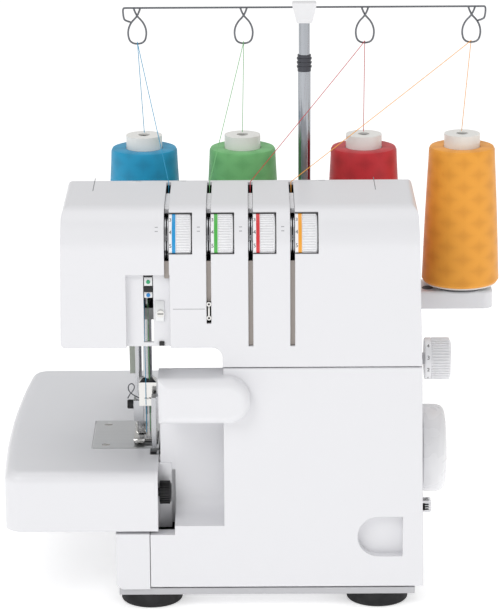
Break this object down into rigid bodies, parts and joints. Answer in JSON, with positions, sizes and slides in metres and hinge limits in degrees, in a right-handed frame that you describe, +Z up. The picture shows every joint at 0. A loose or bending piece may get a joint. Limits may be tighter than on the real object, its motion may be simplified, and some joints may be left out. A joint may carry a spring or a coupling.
{
  "type": "overlock sewing machine",
  "caption": "Overlock machine with a cantilevered sewing head, thread cones on a rear stand, a telescopic thread guide, tension dials, a drop-down looper cover and a slide-off cloth plate.",
  "frame": {"origin": "on the table, under the middle of the whole machine's bounding box", "axes": "+X to the handwheel side, +Y to the rear, +Z up"},
  "size_m": [0.384, 0.279, 0.4305],
  "materials": {
    "white_plastic": "semi-gloss moulded",
    "grey_plastic": "satin",
    "foot_rubber": "matte",
    "black_plastic": "satin",
    "dial_plastic": "satin",
    "steel": "ground and polished",
    "cast_aluminium": "as cast",
    "bush_bronze": "sintered",
    "motor_paint": "satin",
    "belt_rubber": "matte",
    "lifter_plastic": "satin",
    "thread_blue": "wound polyester",
    "thread_green": "wound polyester",
    "thread_red": "wound polyester",
    "thread_orange": "wound polyester",
    "cone_plastic": "satin",
    "pole_chrome": "polished",
    "thread_mixed": "spun polyester",
    "lamp_plastic": "clear"
  },
  "bodies": {
    "machine": {"base_tray": "grey_plastic", "rubber_feet": "foot_rubber", "lower_housing": "white_plastic", "top_cover": "white_plastic", "thread_channels": "black_plastic", "tension_spindle": "steel", "tension_bracket": "steel", "tension_discs": "steel", "main_frame": "cast_aluminium", "shaft_bushes": "bush_bronze", "motor": "motor_paint", "drive_belt": "belt_rubber", "presser_spring": "steel", "needle_plate": "steel", "plate_screws": "steel", "looper_pins": "steel", "fixed_knife": "steel", "spool_stand": "white_plastic", "cone_holders": "grey_plastic", "spool_pins": "white_plastic", "thread_cone_blue": "thread_blue", "thread_cone_green": "thread_green", "thread_cone_red": "thread_red", "thread_cone_orange": "thread_orange", "cone_cores": "cone_plastic", "pole_lower_tube": "pole_chrome", "pole_collar": "pole_chrome", "threads": "thread_mixed", "power_inlet": "black_plastic", "switch_housing": "black_plastic", "lamp": "lamp_plastic"},
    "shaft": {"main_shaft": "steel", "handwheel": "white_plastic"},
    "motor_rotor": {"motor_pulley": "black_plastic"},
    "needle_unit": {"needle_bar": "steel", "needle_clamp": "steel", "needles": "steel", "clamp_screws": "steel"},
    "presser_unit": {"presser_bar": "steel", "foot_ankle": "steel"},
    "foot": {"presser_foot": "steel"},
    "lifter": {"presser_lifter": "lifter_plastic"},
    "looper_door": {"looper_cover": "white_plastic", "hinge_pins": "steel"},
    "cloth_plate_unit": {"cloth_plate": "white_plastic"},
    "dial_blue": {"tension_dial_blue": "dial_plastic"},
    "dial_green": {"tension_dial_green": "dial_plastic"},
    "dial_red": {"tension_dial_red": "dial_plastic"},
    "dial_orange": {"tension_dial_orange": "dial_plastic"},
    "stitch_length": {"stitch_dial": "white_plastic"},
    "differential": {"differential_lever": "white_plastic"},
    "knife_release": {"knife_knob": "black_plastic"},
    "feed": {"feed_dogs": "steel"},
    "looper_low": {"lower_looper": "steel"},
    "looper_high": {"upper_looper": "steel"},
    "knife": {"moving_knife": "steel"},
    "guide": {"pole_upper_tube": "pole_chrome", "guide_holder": "white_plastic", "guide_wire": "steel"},
    "rocker": {"power_switch": "black_plastic"}
  },
  "joints": [
    {"name": "shaft_turn", "type": "hinge", "parent": "machine", "child": "shaft", "pos_m": [0.06, -0.0365, 0.097], "axis": [1, 0, 0], "continuous": true},
    {"name": "rotor_turn", "type": "hinge", "parent": "machine", "child": "motor_rotor", "pos_m": [0.1, 0.0515, 0.066], "axis": [1, 0, 0], "continuous": true},
    {"name": "needle_stroke", "type": "slide", "parent": "machine", "child": "needle_unit", "axis": [0, 0, 1], "range_m": [-0.018, 0.004]},
    {"name": "lifter_swing", "type": "hinge", "parent": "machine", "child": "lifter", "pos_m": [-0.0953, -0.0225, 0.2], "axis": [1, 0, 0], "range_deg": [0, 50]},
    {"name": "presser_lift", "type": "slide", "parent": "machine", "child": "presser_unit", "axis": [0, 0, 1], "range_m": [0, 0.006], "deforming": ["presser_spring"]},
    {"name": "foot_tilt", "type": "hinge", "parent": "presser_unit", "child": "foot", "pos_m": [-0.0889, -0.0325, 0.1154], "axis": [-1, 0, 0], "range_deg": [0, 4.5]},
    {"name": "door_drop", "type": "hinge", "parent": "machine", "child": "looper_door", "pos_m": [0.02, -0.1215, 0.0225], "axis": [1, 0, 0], "range_deg": [0, 90]},
    {"name": "cloth_plate_slide", "type": "slide", "parent": "machine", "child": "cloth_plate_unit", "axis": [-1, 0, 0], "range_m": [0, 0.12]},
    {"name": "tension_blue_turn", "type": "hinge", "parent": "machine", "child": "dial_blue", "pos_m": [-0.0563, -0.10399, 0.28269], "axis": [1, 0, 0], "range_deg": [-97, 146]},
    {"name": "tension_green_turn", "type": "hinge", "parent": "machine", "child": "dial_green", "pos_m": [-0.0256, -0.10399, 0.28269], "axis": [1, 0, 0], "range_deg": [-97, 146]},
    {"name": "tension_red_turn", "type": "hinge", "parent": "machine", "child": "dial_red", "pos_m": [0.0051, -0.10399, 0.28269], "axis": [1, 0, 0], "range_deg": [-97, 146]},
    {"name": "tension_orange_turn", "type": "hinge", "parent": "machine", "child": "dial_orange", "pos_m": [0.0358, -0.10399, 0.28269], "axis": [1, 0, 0], "range_deg": [-97, 146]},
    {"name": "stitch_length_turn", "type": "hinge", "parent": "machine", "child": "stitch_length", "pos_m": [0.137, -0.0665, 0.1782], "axis": [1, 0, 0], "range_deg": [-60, 150]},
    {"name": "differential_swing", "type": "hinge", "parent": "machine", "child": "differential", "pos_m": [0.13, -0.0765, 0.0645], "axis": [1, 0, 0], "range_deg": [-30, 30]},
    {"name": "knife_knob_turn", "type": "hinge", "parent": "machine", "child": "knife_release", "pos_m": [-0.069, -0.1075, 0.0867], "axis": [1, 0, 0], "range_deg": [0, 90]},
    {"name": "feed_stroke", "type": "slide", "parent": "machine", "child": "feed", "axis": [0, 1, 0], "range_m": [-0.0015, 0.0015]},
    {"name": "lower_looper_swing", "type": "hinge", "parent": "machine", "child": "looper_low", "pos_m": [-0.052, -0.0695, 0.074], "axis": [0, 1, 0], "range_deg": [-6, 4]},
    {"name": "upper_looper_swing", "type": "hinge", "parent": "machine", "child": "looper_high", "pos_m": [-0.034, -0.0595, 0.078], "axis": [0, 1, 0], "range_deg": [-8, 8]},
    {"name": "knife_stroke", "type": "slide", "parent": "machine", "child": "knife", "axis": [0, 0, 1], "range_m": [-0.003, 0.003]},
    {"name": "guide_slide", "type": "slide", "parent": "machine", "child": "guide", "axis": [0, 0, 1], "range_m": [-0.024, 0], "deforming": ["threads"]},
    {"name": "rocker_tip", "type": "hinge", "parent": "machine", "child": "rocker", "pos_m": [0.05, 0.1305, 0.042], "axis": [1, 0, 0], "range_deg": [0, 10]}
  ],
  "couplings": [
    {"joint": "rotor_turn", "follows": "shaft_turn", "ratio": 4},
    {"joint": "lifter_swing", "follows": "presser_lift", "rad_per_m": 145.4}
  ]
}
